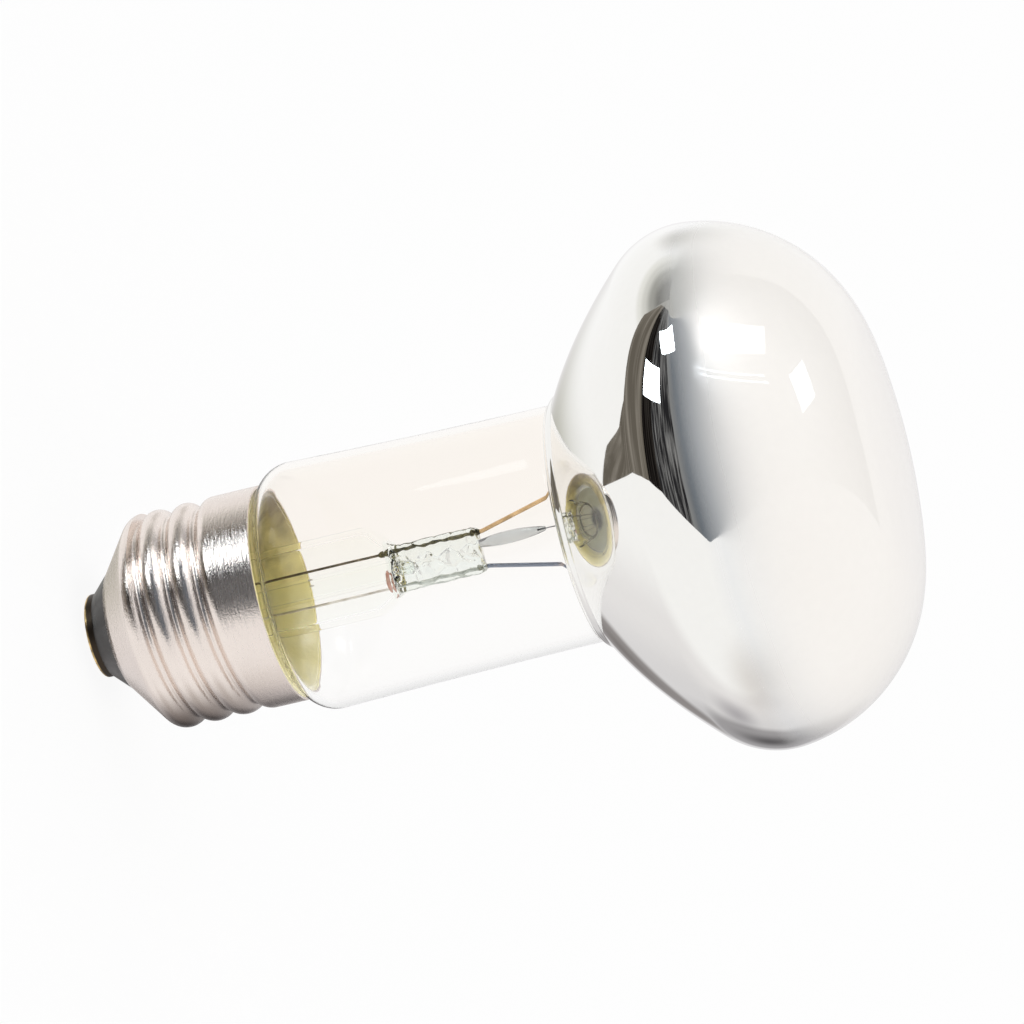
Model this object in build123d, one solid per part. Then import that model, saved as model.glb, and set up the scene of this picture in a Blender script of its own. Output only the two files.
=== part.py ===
from build123d import *
import math
import os

# A reflector spot lamp: a blown glass bulb with a mirrored bowl and a frosted front, cemented into a
# rolled screw cap. Lengths are millimetres and angles degrees. The lamp stands on its axis, Z, with
# the flat of the centre contact at height 0 and the frosted front at the top.

# Screw cap, rolled from thin sheet: cone, round thread and plain skirt
cap_radius = 13.15
cap_height = 23.7
cap_sheet = 0.3
cone_height = 7.8
cone_rounding = 2.0
lip_radius = 7.45
lip_height = 3.35
thread_pitch = 3.629
thread_depth = 1.02
thread_land = 0.15
groove_margin = 0.08
groove_skirt = 4.94
groove_start_angle = -270
groove_fade_angle = 90
groove_rise = 1.4
groove_step_angle = 15
chord_count = 4

# Insulator, moulded in the end of the cap, and the contact that it holds
insulator_margin = 0.1
insulator_height = 3.5
insulator_land = 3.6
well_depth = 2.6
well_margin = 1.0
contact_radius = 5.1
contact_thickness = 1.0
contact_rounding = 0.25
eyelet_radius = 1.6
eyelet_wall = 0.4
eyelet_hole = 0.6
eyelet_floor = 0.9
dimple_width = 1.1
dimple_depth = 0.55

# Glass bulb: sealed end inside the cap, neck, collar bead, mirror bowl, shoulder and face
glass_wall = 0.8
seal_depth = 10.9
cement_gap = 0.93
neck_gap = 0.5
neck_turn_angle = 60
neck_radius = 15.05
neck_top_radius = 14.3
neck_waist = 0.13
neck_height = 36.5
collar_hollow = 0.8
collar_bead = 1.7
collar_rise_angle = 60
collar_ease_angle = 25
bowl_start_angle = 59.3
bulb_radius = 31.5
shoulder_width = 2.7
shoulder_end_angle = 7
brow_radius = 20.3
brow_end_angle = 80

# Cement between the neck and the cap
cement_low = 1.2
cement_clearance = 0.06
cement_recess = 0.1

# Glass stem: flared foot, tube, and the press that is pinched round the wires
tube_radius = 5.4
tube_wall = 0.9
stem_height = 35.5
press_height = 9.5
press_cover = 0.45
press_thickness = 3.2
press_corner = 1.4
press_edge = 0.5
pinch_height = 4.5
pinch_floor = 1.5
pinch_overlap = 1.0
exhaust_radius = 1.4
exhaust_wall = 0.4
exhaust_drop = 4.5
exhaust_hole = 0.8
exhaust_hole_rise = 2.4

# Glass stub on the press, drawn out to a blunt point that holds the support wire
arbor_offset = -0.3
arbor_foot_radius = 0.45
arbor_radius = 0.75
arbor_rise = 2.6
arbor_height = 8.2
arbor_tip_radius = 0.25

# Wires: each lead is an outer length, a seal through the glass and an inner length
centre_lead_offset = -1.7
side_lead_offset = 2.5
outer_lead_radius = 0.15
seal_wire_radius = 0.3
inner_lead_radius = 0.25
seal_tail = 0.7
seal_recess = 0.2
lead_straight = 0.8
lead_bend = 1.0
lead_overhang = 0.6
solder_bite = 0.3
centre_lead_rise = 3.6
centre_lead_shift = 4.4
side_lead_drop = 2.0
side_lead_slope = 1.2
wire_bend = 1.0
rim_bend = 0.2
wire_clearance = 0.02
side_solder_drop = 1.9
side_solder_radius = 2.3
side_solder_sink = 1.6

# Filament: the outer form of the coil, hung across the focus of the mirror on two leads and one support
filament_radius = 7.0
coil_radius = 0.35
support_radius = 0.07
support_root = 1.0
support_straight = 1.2


def unit(angle):
    """Unit vector at an angle from the first axis of the section plane."""
    return Vector(math.cos(math.radians(angle)), math.sin(math.radians(angle)))


def turned(*corners):
    """Solid of revolution about the lamp's axis from the corners of its half section."""
    return revolve(Plane.XZ * make_face(Polyline(*corners, close=True)), axis=Axis.Z)


def wire(radius, path):
    """Round wire along a path."""
    return sweep(Plane(origin=path @ 0, z_dir=path % 0) * Circle(radius), path=path)


def upright(radius, offset, low, high):
    """Straight round bar parallel to the axis, set off along X."""
    bar = Cylinder(radius, high - low, align=(Align.CENTER, Align.CENTER, Align.MIN))
    return Pos(offset, 0, low) * bar


# Cap: the blank before rolling, the groove that the roller presses in, and the thin wall between two skins

cap_minor_radius = cap_radius - thread_depth
cap_bore = cap_radius - cap_sheet
knuckle = (thread_depth**2 + thread_pitch**2 / 4) / (4 * thread_depth)
cone_run = cap_radius - lip_radius
cone_rise = cone_height - lip_height
cone_length = math.hypot(cone_run, cone_rise)
groove_low = cone_height + groove_margin
groove_high = cap_height - groove_skirt
groove_turn = 360 * (groove_high - groove_low) / thread_pitch
groove_count = round(groove_turn / groove_step_angle)


def lip_at(inset):
    """Radius of the cone's lower edge on a skin that lies inset below the outer one."""
    return lip_radius - inset * cone_length / cone_rise


def cap_blank(inset):
    """Solid inside one skin of the cap before the thread is rolled."""
    lip = lip_at(inset)
    side = cap_radius - inset
    corner_height = lip_height + (side - lip) * cone_rise / cone_run
    with BuildPart() as blank:
        with BuildSketch(Plane.XZ):
            with BuildLine():
                FilletPolyline(
                    (lip, lip_height),
                    (side, corner_height),
                    (side, cap_height),
                    radius=cone_rounding - inset,
                )
                Polyline((side, cap_height), (0, cap_height), (0, lip_height), (lip, lip_height))
            make_face()
        revolve(axis=Axis.Z)
    return blank.part


def groove_section(inset):
    """Outline of the rolled groove: a hollow root between two round crests that run into each other."""
    flank = math.degrees(math.asin(thread_pitch / 4 / knuckle))
    crest = math.degrees(math.asin(thread_land / 2 / knuckle))
    half_count = chord_count // 2
    upper = []
    for i in range(half_count + 1):
        root = unit(flank * i / half_count) * (knuckle + inset)
        upper.append((knuckle - thread_depth - root.X, root.Y))
    for i in range(1, half_count + 1):
        top = unit(flank + (crest - flank) * i / half_count) * (knuckle - inset)
        upper.append((top.X - knuckle, thread_pitch / 2 - top.Y))
    upper.append((groove_rise, upper[-1][1]))
    lower = [(reach, -height) for reach, height in reversed(upper[1:])]
    return lower + upper


def groove_route():
    """Helix at the cap's radius that climbs out of the sheet at both ends."""
    points = []
    for i in range(groove_count + 1):
        turned_by = groove_turn * i / groove_count
        past = max(groove_fade_angle - turned_by, turned_by - groove_turn + groove_fade_angle, 0)
        lift = groove_rise * (1 - math.cos(math.pi * past / groove_fade_angle)) / 2
        place = unit(groove_start_angle + turned_by) * (cap_radius + lift)
        points.append((place.X, place.Y, groove_low + thread_pitch * turned_by / 360))
    return Spline(points)


def rolled(inset):
    """Solid inside one skin of the cap once the thread is rolled."""
    route = groove_route()
    outward = unit(groove_start_angle)
    plane = Plane(origin=route @ 0, x_dir=outward, z_dir=(outward.Y, -outward.X, 0))
    section = plane * make_face(Polyline(*groove_section(inset), close=True))
    return cap_blank(inset) - sweep(section, path=route, is_frenet=True)


def thin_wall(outside, inside):
    """Wall between two solids that end on the same two flat ends."""
    outer_faces = outside.faces().sort_by(Axis.Z)
    inner_faces = inside.faces().sort_by(Axis.Z)
    rings = [Face(outer_faces[i].outer_wire(), [inner_faces[i].outer_wire()]) for i in (0, -1)]
    return Solid(Shell(outer_faces[1:-1] + inner_faces[1:-1] + rings))


screw_shell = thin_wall(rolled(0), rolled(cap_sheet))

insulator_top = lip_height + insulator_height
well_floor = insulator_top - well_depth
insulator_rim = lip_at(cap_sheet) + insulator_height * cone_run / cone_rise
insulator = turned(
    (eyelet_radius, contact_thickness),
    (contact_radius + insulator_margin, contact_thickness),
    (lip_radius, lip_height),
    (lip_at(cap_sheet), lip_height),
    (insulator_rim, insulator_top),
    (insulator_rim - insulator_land, insulator_top),
    (eyelet_radius + well_margin, well_floor),
    (eyelet_radius, well_floor),
)

contact_blank = turned(
    (eyelet_hole + dimple_width, 0),
    (contact_radius, 0),
    (contact_radius, contact_thickness),
    (eyelet_radius, contact_thickness),
    (eyelet_radius, well_floor),
    (eyelet_radius - eyelet_wall, well_floor),
    (eyelet_radius - eyelet_wall, eyelet_floor),
    (eyelet_hole, eyelet_floor),
    (eyelet_hole, dimple_depth),
)
contact_edge = contact_blank.edges().filter_by(GeomType.CIRCLE).filter_by(
    lambda edge: edge.radius > contact_radius - contact_rounding and edge.center().Z < contact_thickness / 2
)
centre_contact = fillet(contact_edge, contact_rounding)

# Glass bulb: its section is a chain of arcs, each given by its centre, its radius and the directions of the
# glass's outward normal at its two ends. A hollow arc has a negative radius, so one inset serves them all.


def follow(start, radius, normal_from, normal_to):
    """The next arc of the chain and the point where it ends."""
    centre = start - unit(normal_from) * radius
    return (centre, radius, normal_from, normal_to), centre + unit(normal_to) * radius


def draw_arc(arc, inset):
    centre, radius, normal_from, normal_to = arc
    normals = (normal_from, (normal_from + normal_to) / 2, normal_to)
    ThreePointArc(*[centre + unit(normal) * (radius - inset) for normal in normals])


def crossing(first, first_way, second, second_way):
    """Point where two lines of the section plane cross."""
    between = second - first
    reach = (between.X * second_way.Y - between.Y * second_way.X) / (
        first_way.X * second_way.Y - first_way.Y * second_way.X
    )
    return first + first_way * reach


quarter_angle = 90
seal_low = cap_height - seal_depth
seal_radius = cap_minor_radius - cap_sheet - cement_gap
turn_radius = (neck_radius - seal_radius) / (2 - 2 * math.cos(math.radians(neck_turn_angle)))
seal_high = cap_height + neck_gap - turn_radius * math.sin(math.radians(neck_turn_angle))
collar_low = cap_height + neck_height

turn_out, turn_middle = follow(Vector(seal_radius, seal_high), -turn_radius, 0, -neck_turn_angle)
turn_up, neck_low = follow(turn_middle, turn_radius, -neck_turn_angle, 0)
neck_high = Vector(neck_top_radius, collar_low)
collar_foot, bead_low = follow(neck_high, -collar_hollow, 0, -collar_rise_angle)
bead, bead_high = follow(bead_low, collar_bead, -collar_rise_angle, -collar_ease_angle)
bowl_foot, bowl_low = follow(bead_high, -collar_hollow, -collar_ease_angle, -bowl_start_angle)

# The bowl is a paraboloid that leaves the collar at the slope bowl_start_angle, which sets its focus
focal_length = bowl_low.X * math.tan(math.radians(bowl_start_angle)) / 2
vertex_height = bowl_low.Y - bowl_low.X**2 / (4 * focal_length)
focus_height = vertex_height + focal_length
bowl_reach = bulb_radius - shoulder_width
bowl_high = Vector(bowl_reach, vertex_height + bowl_reach**2 / (4 * focal_length))
bowl_end_angle = math.degrees(math.atan(2 * focal_length / bowl_reach))

shoulder_radius = shoulder_width / (1 - math.cos(math.radians(bowl_end_angle)))
shoulder, brow_low = follow(bowl_high, shoulder_radius, -bowl_end_angle, shoulder_end_angle)
brow, face_edge = follow(brow_low, brow_radius, shoulder_end_angle, brow_end_angle)
face_radius = face_edge.X / math.cos(math.radians(brow_end_angle))
face, apex = follow(face_edge, face_radius, brow_end_angle, quarter_angle)


def bulb_form(inset):
    """Solid inside one skin of the glass, from the sealed end to the face."""
    sideways = Vector(inset, 0)
    neck_middle = (neck_low + neck_high) * 0.5 - Vector(neck_waist + inset, 0)
    bowl_from = bowl_low - unit(-bowl_start_angle) * inset
    bowl_to = bowl_high - unit(-bowl_end_angle) * inset
    leaving = unit(quarter_angle - bowl_start_angle)
    arriving = unit(quarter_angle - bowl_end_angle)
    bowl_pole = crossing(bowl_from, leaving, bowl_to, arriving)
    with BuildPart() as form:
        with BuildSketch(Plane.XZ):
            with BuildLine():
                Line((seal_radius - inset, seal_low), (seal_radius - inset, seal_high))
                draw_arc(turn_out, inset)
                draw_arc(turn_up, inset)
                ThreePointArc(neck_low - sideways, neck_middle, neck_high - sideways)
                draw_arc(collar_foot, inset)
                draw_arc(bead, inset)
                draw_arc(bowl_foot, inset)
                Bezier(bowl_from, bowl_pole, bowl_to)
                draw_arc(shoulder, inset)
                draw_arc(brow, inset)
                draw_arc(face, inset)
                Polyline((0, apex.Y - inset), (0, seal_low), (seal_radius - inset, seal_low))
            make_face()
        revolve(axis=Axis.Z)
    return form.part


bulb_outside = bulb_form(0)
envelope = bulb_outside - bulb_form(glass_wall)

# Wires. The centre lead runs from the eyelet up the tube, the side lead turns under the sealed end of the
# glass, climbs through the cement and bends over the rim to its solder.

press_high = seal_low + stem_height
press_low = press_high - press_height
tube_high = press_low - pinch_height
floor_height = press_low - pinch_floor
seal_wire_low = floor_height - seal_tail
seal_wire_high = press_high - seal_recess


def inner_lead(offset, end_radius):
    """Lead from the seal wire to the end of the filament and a little past it."""
    bend = Vector(offset, 0, seal_wire_high + lead_straight)
    run = Vector(end_radius, 0, focus_height) - bend
    tip = bend + run * (1 + lead_overhang / run.length)
    return wire(inner_lead_radius, FilletPolyline((offset, 0, seal_wire_high), bend, tip, radius=lead_bend))


outer_lead_centre = wire(
    outer_lead_radius,
    FilletPolyline(
        (0, 0, solder_bite),
        (0, 0, centre_lead_rise),
        (centre_lead_offset, 0, centre_lead_rise + centre_lead_shift),
        (centre_lead_offset, 0, seal_wire_low),
        radius=wire_bend,
    ),
)
seal_wire_centre = upright(seal_wire_radius, centre_lead_offset, seal_wire_low, seal_wire_high)
inner_lead_centre = inner_lead(centre_lead_offset, -filament_radius)

skirt_low = groove_high + thread_pitch / 2
under_height = seal_low - side_lead_drop
climb_radius = seal_radius + cement_gap / 2
skirt_radius = cap_bore - outer_lead_radius - wire_clearance
outside_radius = cap_radius + outer_lead_radius + wire_clearance
over_height = cap_height + outer_lead_radius + wire_clearance
solder_height = cap_height - side_solder_drop
outer_lead_side = wire(
    outer_lead_radius,
    FilletPolyline(
        (side_lead_offset, 0, seal_wire_low),
        (side_lead_offset, 0, under_height),
        (0, climb_radius, under_height),
        (0, climb_radius, skirt_low),
        (0, skirt_radius, skirt_low + side_lead_slope),
        (0, skirt_radius, over_height),
        (0, outside_radius, over_height),
        (0, outside_radius, solder_height),
        radius=(wire_bend, wire_bend, rim_bend, rim_bend, rim_bend, rim_bend),
    ),
)
seal_wire_side = upright(seal_wire_radius, side_lead_offset, seal_wire_low, seal_wire_high)
inner_lead_side = inner_lead(side_lead_offset, filament_radius)

contact_solder = (
    turned(
        (0, 0),
        (eyelet_hole + dimple_width, 0),
        (eyelet_hole, dimple_depth),
        (eyelet_hole, eyelet_floor),
        (0, eyelet_floor),
    )
    - outer_lead_centre
)
solder_ball = Pos(0, cap_radius - side_solder_sink, solder_height) * Sphere(side_solder_radius)
side_solder = solder_ball - upright(cap_radius, 0, 0, collar_low) - outer_lead_side

# Cement ring: it fills the skirt, and lower down stays just clear of the rolled thread
cement_narrow = cap_minor_radius - cap_sheet - cement_clearance
cement_top = cap_height - cement_recess
capping_cement = (
    turned(
        (0, seal_low + cement_low),
        (cement_narrow, seal_low + cement_low),
        (cement_narrow, skirt_low),
        (cap_bore, skirt_low),
        (cap_bore, cement_top),
        (0, cement_top),
    )
    - bulb_outside
    - outer_lead_side
)

# Stem: the foot is fused to the sealed end of the bulb, the top is pinched flat with the wires in it
foot_radius = seal_radius - glass_wall
flare = foot_radius - tube_radius
flare_centre = Vector(foot_radius, seal_low + tube_wall + flare)
press_offset = (centre_lead_offset + side_lead_offset) / 2
lead_spread = side_lead_offset - centre_lead_offset
press_width = lead_spread + 2 * (seal_wire_radius + press_cover)


def flare_arc(radius):
    """Quarter arc of the foot, from the tube's side to the sealed edge."""
    return [flare_centre + unit(angle) * radius for angle in (180, 225, 270)]


with BuildPart() as foot:
    with BuildSketch(Plane.XZ):
        with BuildLine():
            ThreePointArc(*flare_arc(flare))
            Line((foot_radius, seal_low + tube_wall), (foot_radius, seal_low))
            ThreePointArc(*flare_arc(flare + tube_wall))
            Polyline(
                flare_centre - Vector(flare + tube_wall, 0),
                (tube_radius - tube_wall, tube_high),
                (tube_radius, tube_high),
                flare_centre - Vector(flare, 0),
            )
        make_face()
    revolve(axis=Axis.Z)

pinch_low = Pos(0, 0, tube_high)
pinch_high = Pos(press_offset, 0, press_low)
hollow_high = Pos(press_offset, 0, floor_height)
hollow_end = Ellipse(lead_spread / 2 + 2 * seal_wire_radius, exhaust_radius + exhaust_wall)
pinch = loft([pinch_low * Circle(tube_radius), pinch_high * Ellipse(press_width / 2, press_thickness / 2)])
pinch_hollow = loft([pinch_low * Circle(tube_radius - tube_wall), hollow_high * hollow_end])
press_foot = Pos(press_offset, 0, press_low - pinch_overlap)
press_slab = extrude(
    press_foot * RectangleRounded(press_width, press_thickness, press_corner),
    press_height + pinch_overlap,
)
press = fillet(press_slab.edges().group_by(Axis.Z)[-1], press_edge)
exhaust_bore = exhaust_radius - exhaust_wall
hole_height = floor_height + exhaust_hole_rise
exhaust_way = upright(exhaust_bore, press_offset, floor_height, hole_height)
side_hole = Pos(press_offset, -press_thickness / 2, hole_height) * Rotation(90, 0, 0) * Cylinder(
    exhaust_hole, press_thickness
)
stem = (
    foot.part
    + (pinch + press - pinch_hollow)
    - exhaust_way
    - side_hole
    - seal_wire_centre
    - seal_wire_side
    - inner_lead_centre
    - inner_lead_side
)

tip_height = seal_low - exhaust_drop + exhaust_radius
exhaust_tip = Pos(press_offset, 0, tip_height) * Sphere(exhaust_radius)
exhaust_rod = upright(exhaust_radius, press_offset, tip_height, floor_height)
exhaust_tube = exhaust_rod + exhaust_tip - upright(exhaust_bore, press_offset, tip_height, floor_height)

# Arbor, support and filament: the coil's two ends butt against the inner leads, its middle on the support
arbor_tip = press_high + arbor_height
filament_support = wire(
    support_radius,
    FilletPolyline(
        (arbor_offset, 0, arbor_tip - support_root),
        (arbor_offset, 0, arbor_tip + support_straight),
        (0, filament_radius, focus_height),
        radius=lead_bend,
    ),
)
coil = Pos(0, 0, focus_height) * Torus(filament_radius, coil_radius, major_angle=180, align=None)
filament = coil - inner_lead_centre - inner_lead_side

with BuildPart() as stub:
    with BuildSketch(Plane.XZ):
        with BuildLine():
            tip_edge = (arbor_tip_radius, arbor_height)
            ThreePointArc((arbor_foot_radius, 0), (arbor_radius, arbor_rise), tip_edge)
            Polyline(tip_edge, (0, arbor_height), (0, 0), (arbor_foot_radius, 0))
        make_face()
    revolve(axis=Axis.Z)
arbor = Pos(arbor_offset, 0, press_high) * stub.part - filament_support

pieces = {
    "envelope": envelope,
    "stem": stem,
    "exhaust_tube": exhaust_tube,
    "arbor": arbor,
    "filament": filament,
    "filament_support": filament_support - coil,
    "outer_lead_centre": outer_lead_centre,
    "seal_wire_centre": seal_wire_centre,
    "inner_lead_centre": inner_lead_centre,
    "outer_lead_side": outer_lead_side,
    "seal_wire_side": seal_wire_side,
    "inner_lead_side": inner_lead_side,
    "screw_shell": screw_shell,
    "insulator": insulator,
    "centre_contact": centre_contact,
    "contact_solder": contact_solder,
    "side_solder": side_solder,
    "capping_cement": capping_cement,
}

os.makedirs("parts", exist_ok=True)
for name, piece in pieces.items():
    export_step(piece, f"parts/{name}.step")
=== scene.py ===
import math

import bpy
from mathutils import Matrix, Vector, noise


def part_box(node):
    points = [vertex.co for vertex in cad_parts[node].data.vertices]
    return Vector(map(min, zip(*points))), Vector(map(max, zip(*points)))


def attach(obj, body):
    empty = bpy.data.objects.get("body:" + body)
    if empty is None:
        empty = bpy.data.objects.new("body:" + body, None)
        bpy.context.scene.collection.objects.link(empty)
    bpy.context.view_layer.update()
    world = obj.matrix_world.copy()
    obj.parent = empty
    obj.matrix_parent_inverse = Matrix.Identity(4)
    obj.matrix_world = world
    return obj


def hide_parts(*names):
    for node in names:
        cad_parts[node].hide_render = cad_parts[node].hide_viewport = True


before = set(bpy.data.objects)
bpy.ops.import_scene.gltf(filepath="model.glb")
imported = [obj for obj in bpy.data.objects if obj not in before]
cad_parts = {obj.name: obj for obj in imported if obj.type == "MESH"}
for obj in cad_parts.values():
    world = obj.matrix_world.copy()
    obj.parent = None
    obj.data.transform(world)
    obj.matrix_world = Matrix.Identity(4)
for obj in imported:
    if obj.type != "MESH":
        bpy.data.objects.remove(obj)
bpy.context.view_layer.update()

# Stem, exhaust tube and arbor: drawn lead glass. The stem is flared at its foot, which is fused to the
# bulb, and pinched flat while soft round the two leads, which leaves its press creased. The exhaust tube
# hangs inside it, open to the bulb by a hole, and the arbor is a grey stub drawn to a point on top.
mm = 0.001
stem_segments = 128
arc_steps = 12
tube_radius = 5.4
tube_wall = 0.9
tube_high = 34.3
floor_height = 37.3
flare_high = 20.0
floor_wide = 2.7
floor_deep = 1.8
press_low = 38.8
press_offset = 0.4
press_wide = 2.85
press_deep = 1.6
press_square = 9.0
press_edge = 0.5
edge_steps = 5
press_rows = 90
crease_spacing = 1.9
crease_width = 0.3
crease_depth = 0.42
crease_wave = 0.2
crease_edge = 0.75
hole_radius = 0.9
hole_low = 37.7
hole_high = 40.4
hole_steps = 16
hole_segments = 32
foot_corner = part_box("stem")[1] / mm
foot_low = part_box("stem")[0].z / mm
press_high = foot_corner.z
foot_radius = foot_corner.x
flare = foot_radius - tube_radius
flare_middle = foot_low + tube_wall + flare


def unit(angle):
    """Unit vector at an angle in degrees from the first axis."""
    return Vector((math.cos(math.radians(angle)), math.sin(math.radians(angle))))


def skin(name, *shells, slot_at=None):
    """Mesh of closed shells, each a list of rows of points round the axis; a row of one point is a pole.

    Where slot_at is given, it names the material slot for a height.
    """
    points = []
    faces = []
    slots = []
    for rows in shells:
        starts = []
        for row in rows:
            starts.append(len(points))
            points.extend(Vector(point) * mm for point in row)
        for i in range(len(rows)):
            k = (i + 1) % len(rows)
            low, high = len(rows[i]), len(rows[k])
            if max(low, high) == 1:
                continue
            slot = slot_at((rows[i][0][2] + rows[k][0][2]) / 2) if slot_at else 0
            for j in range(max(low, high)):
                n = j + 1
                lower = [starts[i] + j % low, starts[i] + n % low]
                upper = [starts[k] + n % high, starts[k] + j % high]
                faces.append(list(dict.fromkeys(lower + upper)))
                slots.append(slot)
    mesh = bpy.data.meshes.new(name)
    mesh.from_pydata(points, [], faces)
    mesh.polygons.foreach_set("material_index", slots)
    mesh.polygons.foreach_set("use_smooth", [True] * len(faces))
    mesh.update()
    made = bpy.data.objects.new(name, mesh)
    bpy.context.scene.collection.objects.link(made)
    return made


def turned_row(radius, height, segments, offset=0.0):
    """Row of points at one radius and height, or a pole on the axis."""
    if radius < 1e-6:
        return [(offset, 0.0, height)]
    ways = [unit(360 * j / segments) for j in range(segments)]
    return [(offset + radius * way.x, radius * way.y, height) for way in ways]


def crease(place):
    """Depth of the jaws' creases at a place on the soft glass."""
    near = noise.voronoi(place / crease_spacing)[0]
    line = max(0.0, 1 - (near[1] - near[0]) / crease_width)
    return crease_depth * line + crease_wave * noise.noise(place / crease_spacing)


def pressed_row(offset, wide, deep, square, height, creased):
    """Row round the pinched part of the stem, from a circle to a flat slab with creased faces."""
    row = []
    for j in range(stem_segments):
        way = unit(360 * j / stem_segments)
        reach = (abs(way.x / wide) ** square + abs(way.y / deep) ** square) ** (-1 / square)
        place = Vector((offset + reach * way.x, reach * way.y, height))
        depth = creased * crease(place) * (1 - crease_edge * abs(reach * way.x / wide) ** 3)
        row.append((place.x - depth * way.x, place.y - depth * way.y, height))
    return row


def eased(share):
    """Share that starts and ends softly."""
    return share * share * (3 - 2 * share)


def stem_outside():
    """Rows from the foot's edge over the flare, up the tube and the pinch, to the top of the press."""
    rows = []
    for i in range(arc_steps + 1):
        place = unit(270 - 90 * i / arc_steps) * flare
        rows.append(turned_row(foot_radius + place.x, flare_middle + place.y, stem_segments))
    for i in range(press_rows):
        height = tube_high + (press_high - press_edge - tube_high) * i / press_rows
        share = eased(min(1.0, (height - tube_high) / (press_low - tube_high)))
        wide = tube_radius + (press_wide - tube_radius) * share
        deep = tube_radius + (press_deep - tube_radius) * share
        square = 2 + (press_square - 2) * share
        rows.append(pressed_row(press_offset * share, wide, deep, square, height, share))
    for i in range(edge_steps):
        turn = unit(90 * i / edge_steps)
        wide = press_wide - press_edge * (1 - turn.x)
        deep = press_deep - press_edge * (1 - turn.x)
        height = press_high - press_edge * (1 - turn.y)
        rows.append(pressed_row(press_offset, wide, deep, press_square, height, 1 - i / edge_steps))
    rows.append([(press_offset, 0.0, press_high)])
    return rows


def stem_inside():
    """Rows of the bore, from the floor under the press down to the foot's lower edge."""
    rows = [[(press_offset, 0.0, floor_height)]]
    bore = tube_radius - tube_wall
    for i in range(arc_steps + 1):
        share = eased(1 - i / arc_steps)
        height = floor_height - (floor_height - tube_high) * i / arc_steps
        wide = bore + (floor_wide - bore) * share
        deep = bore + (floor_deep - bore) * share
        rows.append(pressed_row(press_offset * share, wide, deep, 2.0, height, 0.0))
    for i in range(arc_steps + 1):
        place = unit(180 + 90 * i / arc_steps) * (flare + tube_wall)
        rows.append(turned_row(foot_radius + place.x, flare_middle + place.y, stem_segments))
    return rows


def exhaust_hole():
    """Rows of the rounded hollow in the press through which the bulb was pumped, from its top down."""
    rows = []
    for i in range(hole_steps + 1):
        turn = unit(90 - 180 * i / hole_steps)
        middle = hole_high - hole_radius if i <= hole_steps / 2 else hole_low + hole_radius
        radius = hole_radius * turn.x if 0 < i < hole_steps else 0.0
        rows.append(turned_row(radius, middle + hole_radius * turn.y, hole_segments, press_offset))
    return rows


def stem_slot(height):
    """Slot 0 for the thick glass of the foot and the press, 1 for the thin tube between them."""
    return 1 if flare_high < height < floor_height else 0


stem = skin("stem_pinched", stem_outside() + stem_inside(), exhaust_hole(), slot_at=stem_slot)


def put(tree, kind, inputs=None, **settings):
    """Add a shader node; an input takes a value or the socket that feeds it."""
    made = tree.nodes.new("ShaderNode" + kind)
    for name, value in settings.items():
        setattr(made, name, value)
    for name, value in (inputs or {}).items():
        if isinstance(value, bpy.types.NodeSocket):
            tree.links.new(value, made.inputs[name])
        else:
            made.inputs[name].default_value = value
    return made


def effect(name, inputs, outputs):
    """Start a shader node group with named sockets and return its tree, input and output nodes."""
    tree = bpy.data.node_groups.new(name, "ShaderNodeTree")
    for label, value in inputs.items():
        socket = tree.interface.new_socket(label, in_out="INPUT", socket_type="NodeSocketFloat")
        socket.default_value = value
    for label, kind in outputs.items():
        tree.interface.new_socket(label, in_out="OUTPUT", socket_type="NodeSocket" + kind)
    return tree, tree.nodes.new("NodeGroupInput"), tree.nodes.new("NodeGroupOutput")


def finish_of(name, **values):
    """Start a material and set the constant values of its shader; return material, tree and shader."""
    made = bpy.data.materials.new(name)
    made.use_nodes = True
    shader = made.node_tree.nodes["Principled BSDF"]
    for label, value in values.items():
        shader.inputs[label.replace("_", " ")].default_value = value
    return made, made.node_tree, shader


def use(tree, group, **values):
    """Place a shared effect in a material with its own values."""
    placed = put(tree, "Group", node_tree=group)
    for label, value in values.items():
        placed.inputs[label.replace("_", " ")].default_value = value
    return placed.outputs


def give(piece, *materials):
    """Put materials in a piece's slots in place of those that it came with."""
    while len(piece.data.materials) < len(materials):
        piece.data.materials.append(None)
    for i in range(len(materials)):
        piece.data.materials[i] = materials[i]


def on_piece(tree):
    """Place on the piece, in its own frame."""
    return put(tree, "TexCoord").outputs["Object"]


def clouds(tree, place, scale, detail):
    """Noise over a place."""
    return put(tree, "TexNoise", {"Vector": place, "Scale": scale, "Detail": detail}).outputs["Fac"]


def reckoned(tree, operation, *values):
    """Result of a sum on values or on the sockets that feed them."""
    return put(tree, "Math", dict(enumerate(values)), operation=operation).outputs[0]


def bumped(tree, shader, height, strength, depth):
    """Let a height move a finish's normal."""
    bump = put(tree, "Bump", {"Height": height, "Strength": strength, "Distance": depth * mm})
    tree.links.new(bump.outputs["Normal"], shader.inputs["Normal"])


# Drawn and blown glass is never quite even: long soft waves and a few finer ripples
ripple, ripple_in, ripple_out = effect(
    "glass ripple", {"Wave Scale": 90.0, "Fine Scale": 600.0}, {"Height": "Float"}
)
ripple_share = 0.15
ripple_place = on_piece(ripple)
ripple_wave = clouds(ripple, ripple_place, ripple_in.outputs["Wave Scale"], 1.0)
ripple_fine = clouds(ripple, ripple_place, ripple_in.outputs["Fine Scale"], 2.0)
ripple_sum = reckoned(ripple, "MULTIPLY_ADD", ripple_fine, ripple_share, ripple_wave)
ripple.links.new(ripple_sum, ripple_out.inputs["Height"])


def rippled(tree, shader, wave_scale, fine_scale, strength, depth):
    """Let the shared ripple move a glass's normal."""
    height = use(tree, ripple, Wave_Scale=wave_scale, Fine_Scale=fine_scale)["Height"]
    bumped(tree, shader, height, strength, depth)


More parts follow.
